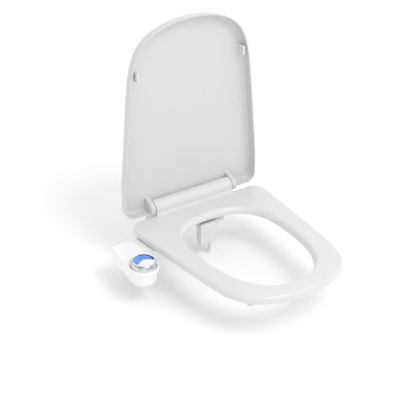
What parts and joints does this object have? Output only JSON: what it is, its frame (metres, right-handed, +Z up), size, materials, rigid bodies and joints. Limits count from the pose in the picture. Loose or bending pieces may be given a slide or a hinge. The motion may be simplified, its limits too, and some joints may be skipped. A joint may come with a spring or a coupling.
{
  "type": "bidet toilet seat",
  "caption": "Soft-close toilet seat and lid over a water-pressure bidet slab with side dial and guarded twin nozzles.",
  "frame": {"origin": "midway between the two mounting studs, on the face that lies on the bowl", "axes": "+Z up, +Y to the tank, -Y to the front of the bowl, control pod on the -X side"},
  "size_m": [0.4495, 0.4795, 0.568],
  "materials": {
    "seat_white": "gloss",
    "lid_white": "gloss",
    "pod_white": "gloss",
    "slab_white": "satin",
    "post_white": "satin",
    "soft_grey": "matte",
    "black_rubber": "matte",
    "damper_grey": "matte",
    "steel": "brushed",
    "bright_trim": "polished",
    "face_blue": "satin",
    "mark_black": "satin",
    "brass": "machined",
    "disc_ceramic": "polished",
    "tube_blue": "soft",
    "spray_white": "satin"
  },
  "bodies": {
    "base": {"hinge_pins": "steel", "hinge_posts": "post_white", "foot_covers": "post_white", "mounting_studs": "steel", "cone_washers": "soft_grey", "wing_nuts": "post_white", "base_plate": "slab_white", "top_cover": "slab_white", "slab_pads": "black_rubber", "slab_screws": "steel", "pod_shell": "pod_white", "pod_bottom": "slab_white", "valve_body": "brass", "valve_bonnet": "brass", "valve_rings": "black_rubber", "inlet_fitting": "brass", "inlet_strainer": "steel", "rear_tube": "tube_blue", "front_tube": "tube_blue", "nozzle_housing": "spray_white", "nozzle_seals": "black_rubber", "gate_pin": "steel"},
    "seat": {"seat_ring": "seat_white", "seat_bumpers": "soft_grey", "seat_damper": "damper_grey"},
    "cover": {"lid": "lid_white", "lid_ears": "lid_white", "lid_bumpers": "soft_grey", "lid_damper": "damper_grey"},
    "dial": {"dial_body": "pod_white", "dial_ring": "bright_trim", "dial_face": "pod_white", "dial_inlay": "face_blue", "dial_mark": "mark_black", "dial_screw": "steel", "valve_stem": "brass", "valve_disc": "disc_ceramic"},
    "rear_spray": {"rear_nozzle": "spray_white", "rear_tip": "pod_white"},
    "front_spray": {"front_nozzle": "spray_white", "front_tip": "pod_white"},
    "gate": {"guard_gate": "spray_white"}
  },
  "joints": [
    {"name": "seat_hinge", "type": "hinge", "parent": "base", "child": "seat", "pos_m": [0, 0, 0.0355], "axis": [-1, 0, 0], "range_deg": [0, 89]},
    {"name": "lid_hinge", "type": "hinge", "parent": "base", "child": "cover", "pos_m": [0, 0, 0.0355], "axis": [-1, 0, 0], "range_deg": [-92.4, 0]},
    {"name": "dial_turn", "type": "hinge", "parent": "base", "child": "dial", "pos_m": [-0.2315, -0.157, 0], "axis": [0, 0, 1], "range_deg": [-90, 90]},
    {"name": "rear_nozzle_slide", "type": "slide", "parent": "base", "child": "rear_spray", "axis": [0, 0, -1], "range_m": [-0.023, 0]},
    {"name": "front_nozzle_slide", "type": "slide", "parent": "base", "child": "front_spray", "axis": [0, 0, -1], "range_m": [0, 0.023]},
    {"name": "gate_hinge", "type": "hinge", "parent": "base", "child": "gate", "pos_m": [0, -0.072, -0.008], "axis": [-1, 0, 0], "range_deg": [0, 80]}
  ]
}
